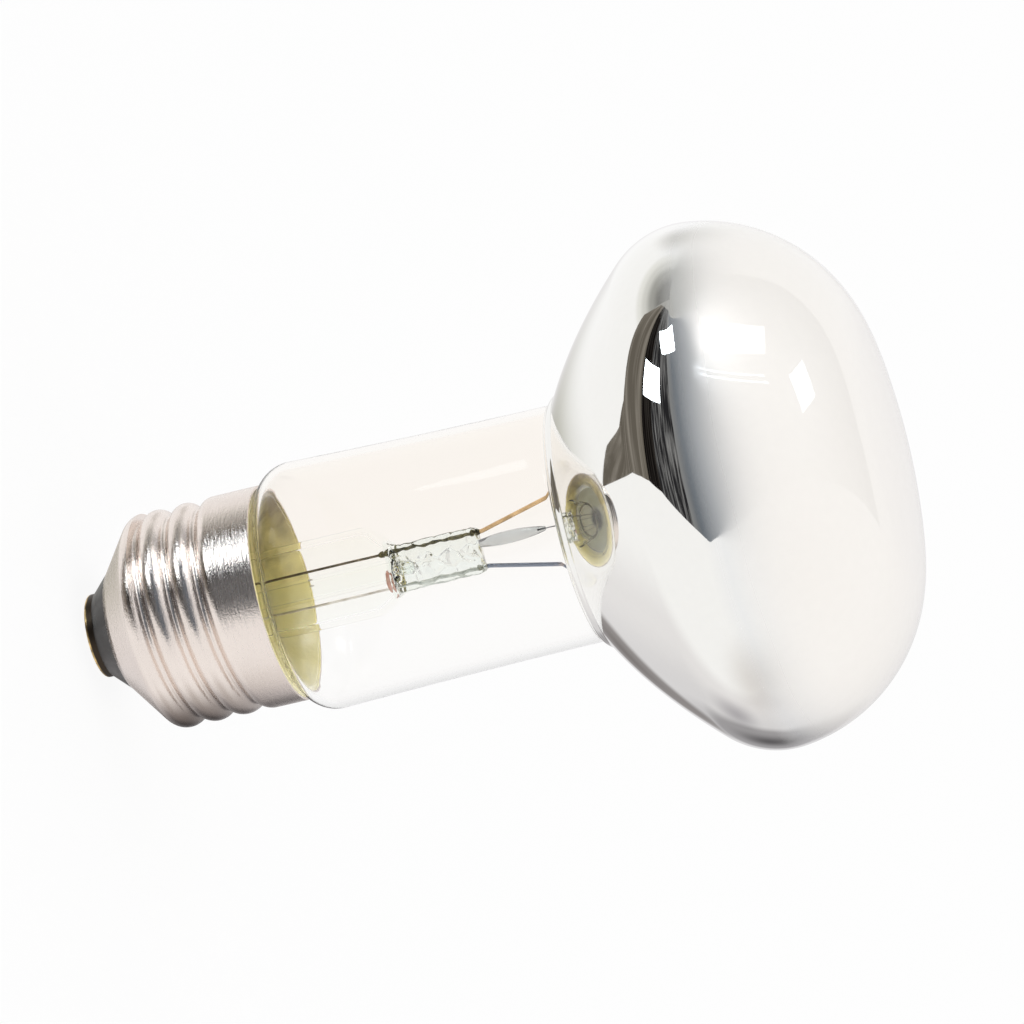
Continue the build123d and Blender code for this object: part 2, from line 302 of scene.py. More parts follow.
def glass(name, tint, index):
    """Clear glass with a tint that light takes on where it passes through a wall."""
    return finish_of(name, Base_Color=(*tint, 1.0), Roughness=0.0, IOR=index, Transmission_Weight=1.0)


press_glass, press_tree, press_shader = glass("press glass", (0.91, 0.95, 0.925), 1.42)
rippled(press_tree, press_shader, 420.0, 1600.0, 0.3, 0.15)
tube_glass, tube_tree, tube_shader = glass("tube glass", (0.99, 0.995, 0.985), 1.02)
rippled(tube_tree, tube_shader, 200.0, 900.0, 0.06, 0.15)
grey_glass, grey_tree, grey_shader = glass("grey arbor glass", (0.60, 0.62, 0.62), 1.54)
rippled(grey_tree, grey_shader, 500.0, 1800.0, 0.2, 0.1)
give(stem, press_glass, tube_glass)
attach(stem, "root")
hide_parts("stem")
give(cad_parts["exhaust_tube"], tube_glass)
give(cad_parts["arbor"], grey_glass)

# Leads: each is three welded lengths, a thin copper tail, a coated wire where the glass grips it and a
# stiffer inner wire that carries the coil. The coated wire is drawn thin, its welds are lumpy beads, and
# firing has left each length its own colour.
weld_wide = 0.42
weld_long = 0.7
weld_lump = 0.12
weld_grain = 3
red_stretch = 3.4
red_shorten = 0.6
red_inward = 0.9
drawn_radius = 0.17
drawn_steps = 8
wire_segments = 24
sharp_angle = math.radians(40)


def spread(tree, value, low, high, to_low=0.0, to_high=1.0, interpolation="LINEAR"):
    """Bring a value from one range to another and hold it there."""
    ends = {"From Min": low, "From Max": high, "To Min": to_low, "To Max": to_high}
    made = put(tree, "MapRange", {"Value": value, **ends}, interpolation_type=interpolation)
    return made.outputs["Result"]


def mixed(tree, share, first, second):
    """Mix of two colours; each is a colour or the socket that feeds it."""
    inputs = {"Fac": share}
    for label, colour in (("Color1", first), ("Color2", second)):
        inputs[label] = colour if isinstance(colour, bpy.types.NodeSocket) else (*colour, 1.0)
    return put(tree, "MixRGB", inputs).outputs["Color"]


# Wire, sheet and pressed glass lose their first gloss in patches
wear, wear_in, wear_out = effect(
    "wire wear", {"Scale": 900.0, "Low": 0.35, "High": 0.7}, {"Mask": "Float"}
)
wear_noise = clouds(wear, on_piece(wear), wear_in.outputs["Scale"], 4.0)
wear_mask = spread(wear, wear_noise, wear_in.outputs["Low"], wear_in.outputs["High"])
wear.links.new(wear_mask, wear_out.inputs["Mask"])


def worn_metal(name, bright, dull, scale, smooth, rough, low=0.35, high=0.7):
    """Metal whose bright colour gives way to a dull one in patches."""
    made, tree, shader = finish_of(name, Metallic=1.0)
    mask = use(tree, wear, Scale=scale, Low=low, High=high)["Mask"]
    tree.links.new(mixed(tree, mask, bright, dull), shader.inputs["Base Color"])
    tree.links.new(spread(tree, mask, 0.0, 1.0, smooth, rough), shader.inputs["Roughness"])
    return made


def weld_bead(name, node, top, stretch=1.0, shorten=1.0, inward=0.0):
    """Lumpy bead round the end of a seal wire, where the next length is welded on."""
    low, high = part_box(node)
    middle = Vector(((low.x + high.x) / 2, 0, high.z if top else low.z)) / mm
    rows = []
    for i in range(arc_steps + 1):
        turn = unit(-90 + 180 * i / arc_steps)
        radius = weld_wide * turn.x if 0 < i < arc_steps else 0.0
        lumps = []
        for point in turned_row(radius, weld_long * turn.y, wire_segments):
            place = Vector(point) + middle
            swell = 1 + weld_lump * noise.noise(place * weld_grain)
            lump = Vector((point[0] * stretch - inward, point[1], point[2] * shorten))
            lumps.append(middle + lump * swell)
        rows.append(lumps)
    return skin(name, rows)


lead_finishes = {
    "outer_lead_centre": worn_metal(
        "browned copper", (0.20, 0.16, 0.11), (0.06, 0.055, 0.04), 700.0, 0.3, 0.5
    ),
    "seal_wire_centre": worn_metal(
        "fired seal wire", (0.17, 0.15, 0.08), (0.04, 0.04, 0.025), 900.0, 0.35, 0.6
    ),
    "inner_lead_centre": worn_metal(
        "copper lead", (0.86, 0.60, 0.33), (0.40, 0.28, 0.15), 350.0, 0.2, 0.45
    ),
    "outer_lead_side": worn_metal(
        "tinned copper", (0.80, 0.76, 0.71), (0.55, 0.50, 0.45), 700.0, 0.3, 0.5
    ),
    "seal_wire_side": worn_metal(
        "pale seal wire", (0.78, 0.80, 0.76), (0.42, 0.44, 0.40), 900.0, 0.3, 0.5
    ),
    "inner_lead_side": worn_metal(
        "greyed lead", (0.72, 0.50, 0.34), (0.24, 0.27, 0.33), 200.0, 0.25, 0.4, 0.3, 0.45
    ),
}
red_borate, red_tree, red_shader = finish_of("red borate", Roughness=0.3, Coat_Weight=0.5)
red_mask = use(red_tree, wear, Scale=1500.0, Low=0.3, High=0.7)["Mask"]
red_colour = mixed(red_tree, red_mask, (0.62, 0.26, 0.20), (0.80, 0.55, 0.48))
red_tree.links.new(red_colour, red_shader.inputs["Base Color"])
for node in ("outer_lead_centre", "inner_lead_centre", "outer_lead_side", "inner_lead_side"):
    give(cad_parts[node], lead_finishes[node])
for side in ("centre", "side"):
    low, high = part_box(f"seal_wire_{side}")
    middle = (low.x + high.x) / 2 / mm
    length = (high.z - low.z) / mm
    heights = [low.z / mm + length * i / drawn_steps for i in range(drawn_steps + 1)]
    rows = [turned_row(drawn_radius, height, wire_segments, middle) for height in heights]
    ends = [[(middle, 0.0, heights[0])], [(middle, 0.0, heights[-1])]]
    drawn = skin(f"drawn_wire_{side}", [ends[0], *rows, ends[1]])
    drawn.data.set_sharp_from_angle(angle=sharp_angle)
    give(drawn, lead_finishes[f"seal_wire_{side}"])
    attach(drawn, "root")
    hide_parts(f"seal_wire_{side}")
for name, node, top, shape, finish in (
    ("weld_centre_low", "seal_wire_centre", False, (), lead_finishes["seal_wire_centre"]),
    ("weld_centre_high", "seal_wire_centre", True, (), lead_finishes["seal_wire_centre"]),
    ("weld_side_low", "seal_wire_side", False, (red_stretch, red_shorten, red_inward), red_borate),
    ("weld_side_high", "seal_wire_side", True, (), lead_finishes["seal_wire_side"]),
):
    bead = weld_bead(name, node, top, *shape)
    give(bead, finish)
    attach(bead, "root")

# Filament and its support: tungsten wire, drawn hot, which leaves it dark, and wound to a fine coil.
# It hangs across the focus inside the mirrored bowl, clamped by the inner leads and held by one wire.
tungsten = worn_metal("tungsten", (0.34, 0.34, 0.36), (0.16, 0.16, 0.17), 1200.0, 0.35, 0.6)
for node in ("filament", "filament_support"):
    give(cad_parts[node], tungsten)

# Bulb: one blown glass. Its neck is clear, its bowl has a bright metal coat on the inside that thins out
# past the widest place, and its front is frosted on the inside and polished outside.
bulb_low, bulb_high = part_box("envelope")
bulb_segments = 160
glass_wall = 0.8
seal_low = bulb_low.z / mm
seal_radius = 10.9
neck_radius = 15.05
neck_top_radius = 14.3
neck_waist = 0.13
neck_turn = 60
neck_middle = 24.2
neck_steps = 16
collar_low = 60.2
collar_hollow = 0.8
collar_bead = 1.7
collar_rise = 60
collar_ease = 25
bowl_start = 59.3
bowl_steps = 24
bulb_radius = bulb_high.x / mm
shoulder_width = 2.7
shoulder_end = 7
brow_radius = 20.3
brow_end = 80
mirror_low = 60.7
mirror_fade_low = 79.8
mirror_fade_high = 91.8
mirror_fade_power = 2.5
mirror_fade_wander = 2.4
warm_low = -6.0
warm_high = 8.0


def glass_outline(inset):
    """Half section of one skin of the bulb, from the sealed end to the middle of the face."""
    outline = []
    state = {"end": Vector((seal_radius, 0))}

    def arc(radius, normal_from, normal_to, steps):
        centre = state["end"] - unit(normal_from) * radius
        for i in range(1, steps + 1):
            normal = unit(normal_from + (normal_to - normal_from) * i / steps)
            outline.append(centre + normal * (radius - inset))
        state["end"] = centre + unit(normal_to) * radius

    turn_radius = (neck_radius - seal_radius) / (2 - 2 * math.cos(math.radians(neck_turn)))
    seal_high = neck_middle - turn_radius * math.sin(math.radians(neck_turn))
    outline.append(Vector((seal_radius - inset, seal_low)))
    outline.append(Vector((seal_radius - inset, seal_high)))
    state["end"] = Vector((seal_radius, seal_high))
    arc(-turn_radius, 0, -neck_turn, 12)
    arc(turn_radius, -neck_turn, 0, 12)
    neck_low = state["end"]
    neck_high = Vector((neck_top_radius, collar_low))
    for i in range(1, neck_steps):
        share = i / neck_steps
        sag = neck_waist * 4 * share * (1 - share)
        outline.append(neck_low.lerp(neck_high, share) - Vector((sag + inset, 0)))
    outline.append(neck_high - Vector((inset, 0)))
    state["end"] = neck_high
    arc(-collar_hollow, 0, -collar_rise, 8)
    arc(collar_bead, -collar_rise, -collar_ease, 8)
    arc(-collar_hollow, -collar_ease, -bowl_start, 8)
    bowl_low = state["end"]
    focal = bowl_low.x * math.tan(math.radians(bowl_start)) / 2
    vertex = bowl_low.y - bowl_low.x**2 / (4 * focal)
    bowl_reach = bulb_radius - shoulder_width
    for i in range(1, bowl_steps + 1):
        reach = bowl_low.x + (bowl_reach - bowl_low.x) * i / bowl_steps
        lean = math.degrees(math.atan(2 * focal / reach))
        outline.append(Vector((reach, vertex + reach**2 / (4 * focal))) - unit(-lean) * inset)
    bowl_end = math.degrees(math.atan(2 * focal / bowl_reach))
    state["end"] = Vector((bowl_reach, vertex + bowl_reach**2 / (4 * focal)))
    arc(shoulder_width / (1 - math.cos(math.radians(bowl_end))), -bowl_end, shoulder_end, 24)
    arc(brow_radius, shoulder_end, brow_end, 36)
    face_radius = state["end"].x / math.cos(math.radians(brow_end))
    arc(face_radius, brow_end, 90, 14)
    outline[-1].x = 0.0
    return outline


bulb_outline = glass_outline(0) + glass_outline(glass_wall)[::-1]
bulb_rows = [turned_row(point.x, point.y, bulb_segments) for point in bulb_outline]


def bulb_slot(height):
    """Slot 0 for the clear neck, 1 for the coated bowl and face."""
    return 1 if height > mirror_low else 0


bulb = skin("bulb", bulb_rows, slot_at=bulb_slot)


def along_axis(tree, axis):
    """Place along one axis of the piece's own frame."""
    return put(tree, "SeparateXYZ", {"Vector": on_piece(tree)}).outputs[axis]


clear_glass, clear_tree, clear_shader = glass("clear neck glass", (0.99, 0.98, 0.97), 1.18)
rippled(clear_tree, clear_shader, 60.0, 260.0, 0.1, 0.3)
# The neck's glass is faintly warmer towards its -X side
warm_side = along_axis(clear_tree, "X")
warm_share = spread(
    clear_tree, warm_side, warm_low * mm, warm_high * mm, interpolation="SMOOTHSTEP"
)
warm_colour = mixed(clear_tree, warm_share, (0.987, 0.962, 0.932), (0.996, 0.993, 0.988))
clear_tree.links.new(warm_colour, clear_shader.inputs["Base Color"])

coated, coated_tree, coated_shader = finish_of(
    "mirrored and frosted glass", Coat_Weight=1.0, Coat_Roughness=0.02, Coat_IOR=1.5
)
fade_noise = clouds(coated_tree, on_piece(coated_tree), 35.0, 1.0)
fade_place = reckoned(
    coated_tree, "MULTIPLY_ADD", fade_noise, mirror_fade_wander * mm, along_axis(coated_tree, "Z")
)
metal_left = spread(
    coated_tree,
    fade_place,
    (mirror_fade_low + mirror_fade_wander / 2) * mm,
    (mirror_fade_high + mirror_fade_wander / 2) * mm,
    1.0,
    0.0,
)
metal = reckoned(coated_tree, "POWER", metal_left, mirror_fade_power)
coated_tree.links.new(metal, coated_shader.inputs["Metallic"])
coat_colour = put(coated_tree, "ValToRGB", {"Fac": metal})
coat_colour.color_ramp.elements[0].color = (0.95, 0.915, 0.87, 1.0)
coat_colour.color_ramp.elements[1].color = (0.90, 0.89, 0.86, 1.0)
thin_film = coat_colour.color_ramp.elements.new(0.6)
thin_film.color = (0.86, 0.86, 0.85, 1.0)
grain = clouds(coated_tree, on_piece(coated_tree), 900.0, 3.0)
frosted = put(
    coated_tree,
    "MixRGB",
    {
        "Fac": 1.0,
        "Color1": coat_colour.outputs["Color"],
        "Color2": spread(coated_tree, grain, 0.0, 1.0, 0.97, 1.0),
    },
    blend_type="MULTIPLY",
)
coated_tree.links.new(frosted.outputs["Color"], coated_shader.inputs["Base Color"])
coat_rough = spread(coated_tree, metal, 0.0, 0.7, 0.5, 0.03)
coated_tree.links.new(coat_rough, coated_shader.inputs["Roughness"])
rippled(coated_tree, coated_shader, 45.0, 160.0, 0.08, 0.4)
give(bulb, clear_glass, coated)
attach(bulb, "root")
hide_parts("envelope")

# Capping cement: a baked ring of yellow resin and marble flour that grips the neck inside the skirt.
# A little of it was squeezed out and has set as a glossy golden bead along the rim.
bead_radius = 0.14
bead_lump = 0.07
bead_grain = 0.6
bead_segments = 240
bead_steps = 12
cement_reach = 13.0
cement, cement_tree, cement_shader = finish_of("capping cement", Coat_Weight=0.5, Coat_Roughness=0.12)
cement_clouds = clouds(cement_tree, on_piece(cement_tree), 170.0, 5.0)
# Darker towards -X and paler towards +X, on top of the random tone: painted shade, for the side of the
# ring that gets less light
cement_side = along_axis(cement_tree, "X")
cement_painted_shade = spread(cement_tree, cement_side, -cement_reach * mm, cement_reach * mm, -0.35, 0.45)
cement_tone_and_shade = reckoned(cement_tree, "ADD", cement_clouds, cement_painted_shade)
cement_colour = put(cement_tree, "ValToRGB", {"Fac": cement_tone_and_shade})
cement_colour.color_ramp.elements[0].color = (0.24, 0.19, 0.08, 1.0)
cement_colour.color_ramp.elements[1].color = (1.0, 0.94, 0.58, 1.0)
cement_colour.color_ramp.elements[0].position = 0.15
cement_colour.color_ramp.elements[1].position = 0.9
cement_olive = cement_colour.color_ramp.elements.new(0.5)
cement_olive.color = (0.98, 0.89, 0.42, 1.0)
cement_tree.links.new(cement_colour.outputs["Color"], cement_shader.inputs["Base Color"])
cement_gloss = spread(cement_tree, cement_clouds, 0.0, 1.0, 0.25, 0.6)
cement_tree.links.new(cement_gloss, cement_shader.inputs["Roughness"])
cement_lumps = clouds(cement_tree, on_piece(cement_tree), 700.0, 3.0)
bumped(cement_tree, cement_shader, cement_lumps, 0.4, 0.3)
give(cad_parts["capping_cement"], cement)

cement_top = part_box("capping_cement")[1] / mm
bead_rows = []
for i in range(bead_steps):
    turn = unit(360 * i / bead_steps)
    row = []
    for j in range(bead_segments):
        way = unit(360 * j / bead_segments)
        place = Vector((way.x, way.y, 0)) * cement_top.x
        size = bead_radius + bead_lump * noise.noise(place * bead_grain)
        reach = cement_top.x - bead_radius + size * turn.x
        row.append((way.x * reach, way.y * reach, cement_top.z + size * turn.y))
    bead_rows.append(row)
squeezed = skin("squeezed_cement", bead_rows)
give(squeezed, cement)
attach(squeezed, "root")

# Screw shell: thin aluminium sheet, drawn to a cup and rolled so that a round thread stands in and out.
# The plain skirt above ends in a cut edge, and the cone below is turned in over the insulator.
shell_low, shell_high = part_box("screw_shell")
shell_segments = 200
cap_radius = shell_high.x / mm
cap_height = shell_high.z / mm
cap_sheet = 0.3
cone_height = 7.8
cone_rounding = 2.0
lip_radius = 7.45
lip_height = shell_low.z / mm
thread_pitch = 3.629
thread_depth = 1.02
groove_low = 7.88
groove_high = 18.76
groove_start = -270
groove_fade = 90
groove_rise = 1.4
thread_rows = 170
cone_steps = 6
bend_steps = 8
groove_round = 0.5
crest_round = (thread_depth**2 + thread_pitch**2 / 4) / (2 * thread_depth) - groove_round
groove_half = thread_pitch / 2 / (groove_round + crest_round)
groove_turn = 360 * (groove_high - groove_low) / thread_pitch
low_shade_start = 7.4
low_shade_full = 12.9
low_shade_top = 28.0
low_shade_foot = 9.0


def groove_radius(from_root, inset):
    """Radius of the rolled skin at a distance along the axis from the groove's root."""
    if from_root < groove_half * (groove_round + inset):
        groove_centre = cap_radius - thread_depth + groove_round
        return groove_centre - math.sqrt((groove_round + inset) ** 2 - from_root**2)
    from_crest = thread_pitch / 2 - from_root
    return cap_radius - crest_round + math.sqrt((crest_round - inset) ** 2 - from_crest**2)


def shell_radius(angle, height, inset):
    """Radius of one skin of the cylinder part, thread included."""
    radius = cap_radius - inset
    turned_by = (angle - groove_start) % 360
    while turned_by <= groove_turn:
        from_root = abs(height - groove_low - thread_pitch * turned_by / 360)
        if from_root < thread_pitch / 2:
            past = max(groove_fade - turned_by, turned_by - groove_turn + groove_fade, 0)
            lift = groove_rise * (1 - math.cos(math.pi * past / groove_fade)) / 2
            radius = min(radius, groove_radius(from_root, inset) + lift)
        turned_by += 360
    return radius


def shell_rows(inset):
    """Rows of one skin of the shell, from the lip up the cone, round the corner and up to the rim."""
    lean = math.degrees(math.atan2(cone_height - lip_height, cap_radius - lip_radius))
    lip = lip_radius - inset / math.sin(math.radians(lean))
    side = cap_radius - inset
    corner = lip_height + (side - lip) * math.tan(math.radians(lean))
    bend = cone_rounding - inset
    turn = 90 - lean
    reach = bend * math.tan(math.radians(turn / 2))
    centre = Vector((side - bend, corner + reach))
    bend_low = centre + unit(-turn) * bend
    rows = []
    for i in range(cone_steps):
        point = Vector((lip, lip_height)).lerp(bend_low, i / cone_steps)
        rows.append(turned_row(point.x, point.y, shell_segments))
    for i in range(bend_steps):
        point = centre + unit(-turn * (1 - i / bend_steps)) * bend
        rows.append(turned_row(point.x, point.y, shell_segments))
    for i in range(thread_rows + 1):
        height = centre.y + (cap_height - centre.y) * i / thread_rows
        row = []
        for j in range(shell_segments):
            angle = 360 * j / shell_segments
            place = unit(angle) * shell_radius(angle, height, inset)
            row.append((place.x, place.y, height))
        rows.append(row)
    return rows


shell = skin("screw_shell_rolled", shell_rows(0) + shell_rows(cap_sheet)[::-1])
shell.data.set_sharp_from_angle(angle=sharp_angle)

# Fine lines round the axis, left by rolling and turning
lines, lines_in, lines_out = effect(
    "turning lines",
    {"Round Scale": 6.0, "Axial Scale": 3000.0, "Low": 0.3, "High": 0.7},
    {"Lines": "Float"},
)
lines_place = put(lines, "SeparateXYZ", {"Vector": on_piece(lines)}).outputs
lines_angle = reckoned(lines, "ARCTAN2", lines_place["Y"], lines_place["X"])
lines_round = reckoned(lines, "MULTIPLY", lines_angle, lines_in.outputs["Round Scale"])
lines_axial = reckoned(lines, "MULTIPLY", lines_place["Z"], lines_in.outputs["Axial Scale"])
lines_vector = put(lines, "CombineXYZ", {"X": lines_round, "Y": lines_axial}).outputs["Vector"]
lines_noise = clouds(lines, lines_vector, 1.0, 3.0)
lines_mask = spread(lines, lines_noise, lines_in.outputs["Low"], lines_in.outputs["High"])
lines.links.new(lines_mask, lines_out.inputs["Lines"])

aluminium, sheet_tree, sheet_shader = finish_of("rolled aluminium", Metallic=1.0)
sheet_lines = use(sheet_tree, lines, Round_Scale=9.0, Axial_Scale=3400.0)["Lines"]
sheet_mask = use(sheet_tree, wear, Scale=120.0, Low=0.3, High=0.8)["Mask"]
sheet_colour = mixed(sheet_tree, sheet_mask, (0.87, 0.785, 0.73), (0.79, 0.71, 0.66))
# Painted shade: the cap turns dark brown low on its +X side, for the shade under the crests there
sheet_side = along_axis(sheet_tree, "X")
low_shade_across = spread(
    sheet_tree, sheet_side, low_shade_start * mm, low_shade_full * mm, interpolation="SMOOTHSTEP"
)
sheet_height = along_axis(sheet_tree, "Z")
low_shade_along = spread(
    sheet_tree, sheet_height, low_shade_top * mm, low_shade_foot * mm, interpolation="SMOOTHSTEP"
)
low_shade = reckoned(sheet_tree, "MULTIPLY", low_shade_across, low_shade_along)
shaded_sheet = mixed(sheet_tree, low_shade, sheet_colour, (0.11, 0.08, 0.065))
sheet_tree.links.new(shaded_sheet, sheet_shader.inputs["Base Color"])
sheet_rough = spread(sheet_tree, sheet_lines, 0.0, 1.0, 0.19, 0.3)
sheet_tree.links.new(sheet_rough, sheet_shader.inputs["Roughness"])
sheet_grain = clouds(sheet_tree, on_piece(sheet_tree), 4600.0, 2.0)
sheet_relief = reckoned(sheet_tree, "MULTIPLY_ADD", sheet_grain, 2.0, sheet_lines)
bumped(sheet_tree, sheet_shader, sheet_relief, 0.4, 0.027)
give(shell, aluminium)
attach(shell, "root")
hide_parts("screw_shell")

# Insulator: black glass pressed hot into the lip of the shell, with a smooth glossy cone outside.
# Inside the cap it is painted pale: painted light on the dark inside, which shows in the mirror's
# collar.
painted_light_low = 4.2
painted_light_full = 5.0
black_glass, black_tree, black_shader = finish_of(
    "black glass", Coat_Weight=0.15, Coat_Roughness=0.1, Specular_IOR_Level=0.35
)
black_mask = use(black_tree, wear, Scale=380.0, Low=0.3, High=0.75)["Mask"]
black_colour = mixed(black_tree, black_mask, (0.012, 0.010, 0.009), (0.03, 0.025, 0.022))
painted_light_inside = spread(black_tree, along_axis(black_tree, "Z"), painted_light_low * mm, painted_light_full * mm)
black_lightened = mixed(black_tree, painted_light_inside, black_colour, (0.80, 0.80, 0.70))
black_tree.links.new(black_lightened, black_shader.inputs["Base Color"])
black_rough = spread(black_tree, black_mask, 0.0, 1.0, 0.2, 0.5)
black_tree.links.new(black_rough, black_shader.inputs["Roughness"])
give(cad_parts["insulator"], black_glass)

# Centre contact and solder: a stamped brass cup, browned by heat. Its edge is bright in patches, partly
# rubbed by the holder and partly a painted highlight on the rim. It is closed by a flush drop of solder.
# A second drop joins the other lead to the rim.
bright_edge_high = 0.34
bright_edge_full = 0.2
brass, brass_tree, brass_shader = finish_of("browned brass", Metallic=1.0)
brass_edge = spread(brass_tree, along_axis(brass_tree, "Z"), bright_edge_high * mm, bright_edge_full * mm)
brass_mask = use(brass_tree, wear, Scale=900.0, Low=0.3, High=0.65)["Mask"]
rub_and_highlight = reckoned(brass_tree, "MULTIPLY", brass_edge, brass_mask)
brass_colour = mixed(brass_tree, rub_and_highlight, (0.05, 0.038, 0.028), (0.90, 0.64, 0.28))
brass_tree.links.new(brass_colour, brass_shader.inputs["Base Color"])
brass_rough = spread(brass_tree, rub_and_highlight, 0.0, 1.0, 0.45, 0.22)
brass_tree.links.new(brass_rough, brass_shader.inputs["Roughness"])
give(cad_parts["centre_contact"], brass)
solder = worn_metal("solder", (0.62, 0.62, 0.63), (0.36, 0.36, 0.37), 800.0, 0.28, 0.55)
for node in ("contact_solder", "side_solder"):
    give(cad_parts[node], solder)

# Studio: a white floor that keeps a faint shadow, a white world, and what the mirror shows of the room:
# dark walls with lamps towards the camera, ceilings, and shades on a table. The room's panels are seen
# only in reflections and through glass, and most of them leave the frosted face as it is.
room_height = 69
room_centre = Vector((0, 0, room_height * mm))
room_distance = 1.0
ceiling_distance = room_distance + 0.05
lamp_distance = room_distance - 0.05


def direction(azimuth, elevation):
    """Direction from the bulb: azimuth 0 towards the camera, 90 along the axis; up is -X."""
    flat = unit(azimuth)
    up = unit(elevation)
    return Vector((-up.y, -up.x * flat.x, up.x * flat.y))


def shine(name, kind="Emission"):
    """Start a material that only shines, or only tints what is behind it."""
    made = bpy.data.materials.new(name)
    made.use_nodes = True
    made.node_tree.nodes.clear()
    light = put(made.node_tree, kind)
    made.node_tree.links.new(light.outputs[0], put(made.node_tree, "OutputMaterial").inputs["Surface"])
    return made, made.node_tree, light


def wall_finish(name, dark, pale, across, upright):
    """Dim wall with paler things standing upright against it."""
    made, tree, light = shine(name)
    place = put(tree, "TexCoord").outputs["UV"]
    stretched = put(tree, "VectorMath", {0: place, 1: (across, upright, 0.0)}, operation="MULTIPLY")
    things = clouds(tree, stretched.outputs["Vector"], 1.0, 4.0)
    share = spread(tree, things, 0.45, 0.7)
    tree.links.new(mixed(tree, share, dark, pale), light.inputs["Color"])
    return made


def graded(tree, light, share, shades):
    """Colour a light by a share of the panel, through a list of places and colours."""
    ramp = put(tree, "ValToRGB", {"Fac": share})
    ramp.color_ramp.interpolation = "EASE"
    while len(ramp.color_ramp.elements) < len(shades):
        ramp.color_ramp.elements.new(1.0)
    for element, (place, shade) in zip(ramp.color_ramp.elements, shades):
        element.position = place
        element.color = (*shade, 1.0)
    tree.links.new(ramp.outputs["Color"], light.inputs["Color"])


def patch_finish(name, shades):
    """Soft round patch: shades from the middle of the panel to its edges, where it lets all through."""
    made, tree, light = shine(name, "BsdfTransparent")
    place = put(tree, "TexCoord").outputs["UV"]
    distance = put(tree, "VectorMath", {0: place, 1: (0.5, 0.5, 0.0)}, operation="DISTANCE")
    graded(tree, light, reckoned(tree, "MULTIPLY", distance.outputs["Value"], 2.0), shades)
    return made


def sweep_finish(name, axis, shades):
    """Shades along one direction of the panel, X round the bulb or Y upwards."""
    made, tree, light = shine(name)
    place = put(tree, "SeparateXYZ", {"Vector": put(tree, "TexCoord").outputs["UV"]})
    graded(tree, light, place.outputs[axis], shades)
    return made


def room_panel(name, low_edge, high_edge, finish, distance, reaches_matt=True):
    """Curved panel about the bulb from a lower to an upper edge, lists of azimuths and elevations.

    Where reaches_matt is off, it is seen only in sharp reflections and leaves matt surfaces as they are.
    """
    columns = 30
    rows = 16

    def along(edge, share):
        place = share * (len(edge) - 1)
        i = min(int(place), len(edge) - 2)
        return Vector(edge[i]).lerp(Vector(edge[i + 1]), place - i)

    points = []
    shares = []
    for i in range(columns + 1):
        low = along(low_edge, i / columns)
        high = along(high_edge, i / columns)
        for j in range(rows + 1):
            points.append(room_centre + direction(*low.lerp(high, j / rows)) * distance)
            shares.append((i / columns, j / rows))
    faces = []
    for i in range(columns):
        for j in range(rows):
            first = i * (rows + 1) + j
            faces.append((first, first + 1, first + rows + 2, first + rows + 1))
    mesh = bpy.data.meshes.new(name)
    mesh.from_pydata(points, [], faces)
    layer = mesh.uv_layers.new(name="share")
    for loop in mesh.loops:
        layer.data[loop.index].uv = shares[loop.vertex_index]
    mesh.materials.append(finish)
    panel = bpy.data.objects.new(name, mesh)
    bpy.context.scene.collection.objects.link(panel)
    panel.visible_camera = False
    panel.visible_diffuse = reaches_matt


white = (1.0, 1.0, 1.0)
room_panel(
    "brown_wall",
    [(-104, 6), (-98, 7), (-92, 8), (-86, 9), (-72, 9), (-60, 8)],
    [(-104, 14), (-88, 30), (-87, 52), (-92, 66), (-80, 82), (-60, 84)],
    wall_finish("brown wall", (0.13, 0.115, 0.095), (0.29, 0.265, 0.23), 13.0, 1.2),
    room_distance,
)
room_panel(
    "black_wall",
    [(-60, 8), (-45, 4)],
    [(-60, 84), (-45, 84)],
    wall_finish("black wall", (0.004, 0.003, 0.003), (0.05, 0.045, 0.04), 9.0, 2.0),
    room_distance,
)
room_panel(
    "grey_wall",
    [(-45, 4), (-30, -4), (-15, -12)],
    [(-45, 84), (-30, 84), (-15, 84)],
    wall_finish("grey wall", (0.02, 0.02, 0.022), (0.28, 0.28, 0.28), 14.0, 5.0),
    room_distance,
)
blue_shades = [
    (0.0, (0.24, 0.245, 0.25)),
    (0.2, (0.10, 0.122, 0.15)),
    (0.5, (0.13, 0.15, 0.18)),
    (0.85, (0.85, 0.85, 0.86)),
]
room_panel(
    "blue_wall",
    [(-15, -12), (0, -20), (20, -16), (45, -6), (70, -2)],
    [(-15, 84), (0, 80), (25, 78), (45, 77), (70, 76)],
    sweep_finish("blue wall", "X", blue_shades),
    room_distance,
    reaches_matt=False,
)
front_shades = [(0.0, (0.9, 0.9, 0.9)), (0.6, (0.42, 0.42, 0.43)), (1.0, (0.36, 0.36, 0.37))]
room_panel(
    "front_room",
    [(70, -2), (133, -10)],
    [(70, 76), (133, 66)],
    sweep_finish("front room", "X", front_shades),
    room_distance,
    reaches_matt=False,
)
back_shades = [
    (0.0, white),
    (0.15, (0.85, 0.85, 0.82)),
    (0.3, (0.68, 0.68, 0.65)),
    (0.5, (0.38, 0.38, 0.36)),
    (0.72, (0.22, 0.22, 0.21)),
]
room_panel(
    "ceiling_back",
    [(-182, 56), (-85, 56)],
    [(-182, 90), (-85, 90)],
    sweep_finish("ceiling at the back", "Y", back_shades),
    ceiling_distance,
)
room_panel(
    "ceiling_corner",
    [(-196, 24), (-160, 24)],
    [(-196, 62), (-160, 62)],
    patch_finish("corner of the ceiling", [(0.0, (0.62, 0.61, 0.58)), (1.0, white)]),
    room_distance,
    reaches_matt=False,
)
room_panel(
    "ceiling_front",
    [(-85, 70), (0, 70), (45, 70), (95, 66), (134, 52), (178, 48)],
    [(-85, 90), (0, 90), (45, 90), (95, 90), (134, 90), (178, 90)],
    sweep_finish("ceiling at the front", "Y", [(0.0, white), (0.6, (0.36, 0.36, 0.34))]),
    ceiling_distance,
)
